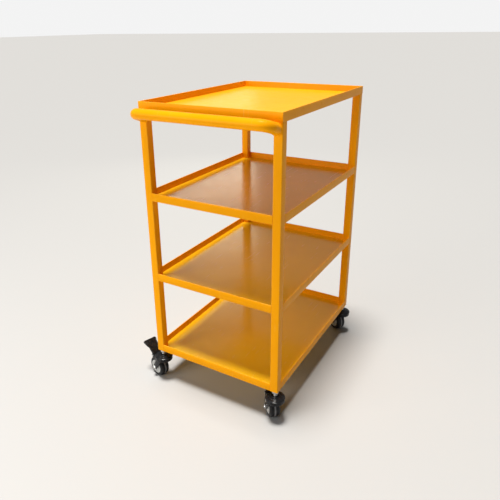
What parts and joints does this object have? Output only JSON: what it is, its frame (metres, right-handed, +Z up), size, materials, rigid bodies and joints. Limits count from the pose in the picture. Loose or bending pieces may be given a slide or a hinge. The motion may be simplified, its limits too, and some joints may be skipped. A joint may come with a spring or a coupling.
{
  "type": "housekeeping cart",
  "caption": "Open welded steel service cart with tray-lipped shelves on square posts, a bent tube push handle and braked swivel castors.",
  "frame": {"origin": "on the floor, under the middle of the four castor swivel axes and of the welded frame", "axes": "+X to the right and +Y to the far side as seen by a person at the push handle, +Z up"},
  "size_m": [0.5438, 0.6956, 0.94],
  "materials": {
    "frame_paint": "glossy orange-yellow powder coat",
    "deck_paint": "glossy orange-yellow powder coat with fine scratches",
    "zinc_steel": "bright zinc plated",
    "bearing_steel": "polished",
    "castor_black": "black, satin gloss",
    "hub_plastic": "light grey moulded",
    "tyre_rubber": "black moulded tread",
    "band_rubber": "mid grey",
    "shoe_rubber": "matt black"
  },
  "bodies": {
    "frame": {"front_left_post": "frame_paint", "front_right_post": "frame_paint", "back_left_post": "frame_paint", "back_right_post": "frame_paint", "top_front_rail": "frame_paint", "top_back_rail": "frame_paint", "top_left_rail": "frame_paint", "top_right_rail": "frame_paint", "upper_front_rail": "frame_paint", "upper_back_rail": "frame_paint", "upper_left_rail": "frame_paint", "upper_right_rail": "frame_paint", "middle_front_rail": "frame_paint", "middle_back_rail": "frame_paint", "middle_left_rail": "frame_paint", "middle_right_rail": "frame_paint", "bottom_front_rail": "frame_paint", "bottom_back_rail": "frame_paint", "bottom_left_rail": "frame_paint", "bottom_right_rail": "frame_paint", "top_deck": "deck_paint", "upper_deck": "deck_paint", "middle_deck": "deck_paint", "bottom_deck": "deck_paint", "push_handle": "frame_paint", "post_inserts": "zinc_steel", "castor_stems": "zinc_steel", "stem_nuts": "zinc_steel", "swivel_races": "castor_black"},
    "front_left_swivel": {"front_left_fork": "castor_black", "front_left_balls": "bearing_steel", "front_left_axle": "zinc_steel", "front_left_brake_pin": "zinc_steel"},
    "front_left_wheel": {"front_left_wheel_hub": "hub_plastic", "front_left_tyre": "tyre_rubber", "front_left_tyre_band": "band_rubber"},
    "front_left_pedal": {"front_left_brake_pedal": "castor_black", "front_left_brake_shoe": "shoe_rubber"},
    "front_right_swivel": {"front_right_fork": "castor_black", "front_right_balls": "bearing_steel", "front_right_axle": "zinc_steel", "front_right_brake_pin": "zinc_steel"},
    "front_right_wheel": {"front_right_wheel_hub": "hub_plastic", "front_right_tyre": "tyre_rubber", "front_right_tyre_band": "band_rubber"},
    "front_right_pedal": {"front_right_brake_pedal": "castor_black", "front_right_brake_shoe": "shoe_rubber"},
    "back_left_swivel": {"back_left_fork": "castor_black", "back_left_balls": "bearing_steel", "back_left_axle": "zinc_steel"},
    "back_left_wheel": {"back_left_wheel_hub": "hub_plastic", "back_left_tyre": "tyre_rubber", "back_left_tyre_band": "band_rubber"},
    "back_right_swivel": {"back_right_fork": "castor_black", "back_right_balls": "bearing_steel", "back_right_axle": "zinc_steel"},
    "back_right_wheel": {"back_right_wheel_hub": "hub_plastic", "back_right_tyre": "tyre_rubber", "back_right_tyre_band": "band_rubber"}
  },
  "joints": [
    {"name": "front_left_swivel_turn", "type": "hinge", "parent": "frame", "child": "front_left_swivel", "pos_m": [-0.2125, -0.2875, 0.08], "axis": [0, 0, 1], "continuous": true},
    {"name": "front_left_wheel_spin", "type": "hinge", "parent": "front_left_swivel", "child": "front_left_wheel", "pos_m": [-0.24038, -0.27951, 0.035], "axis": [-0.2756, -0.9613, 0], "continuous": true},
    {"name": "front_left_brake", "type": "hinge", "parent": "front_left_swivel", "child": "front_left_pedal", "pos_m": [-0.24903, -0.27703, 0.07807], "axis": [-0.2756, -0.9613, 0], "range_deg": [0, 20]},
    {"name": "front_right_swivel_turn", "type": "hinge", "parent": "frame", "child": "front_right_swivel", "pos_m": [0.2125, -0.2875, 0.08], "axis": [0, 0, 1], "continuous": true},
    {"name": "front_right_wheel_spin", "type": "hinge", "parent": "front_right_swivel", "child": "front_right_wheel", "pos_m": [0.19235, -0.26664, 0.035], "axis": [-0.7193, -0.6947, 0], "continuous": true},
    {"name": "front_right_brake", "type": "hinge", "parent": "front_right_swivel", "child": "front_right_pedal", "pos_m": [0.1861, -0.26016, 0.07807], "axis": [-0.7193, -0.6947, 0], "range_deg": [0, 20]},
    {"name": "back_left_swivel_turn", "type": "hinge", "parent": "frame", "child": "back_left_swivel", "pos_m": [-0.2125, 0.2875, 0.08], "axis": [0, 0, 1], "continuous": true},
    {"name": "back_left_wheel_spin", "type": "hinge", "parent": "back_left_swivel", "child": "back_left_wheel", "pos_m": [-0.23939, 0.29836, 0.035], "axis": [-0.3746, -0.9272, 0], "continuous": true},
    {"name": "back_right_swivel_turn", "type": "hinge", "parent": "frame", "child": "back_right_swivel", "pos_m": [0.2125, 0.2875, 0.08], "axis": [0, 0, 1], "continuous": true},
    {"name": "back_right_wheel_spin", "type": "hinge", "parent": "back_right_swivel", "child": "back_right_wheel", "pos_m": [0.18874, 0.30413, 0.035], "axis": [-0.5736, -0.8192, 0], "continuous": true}
  ]
}
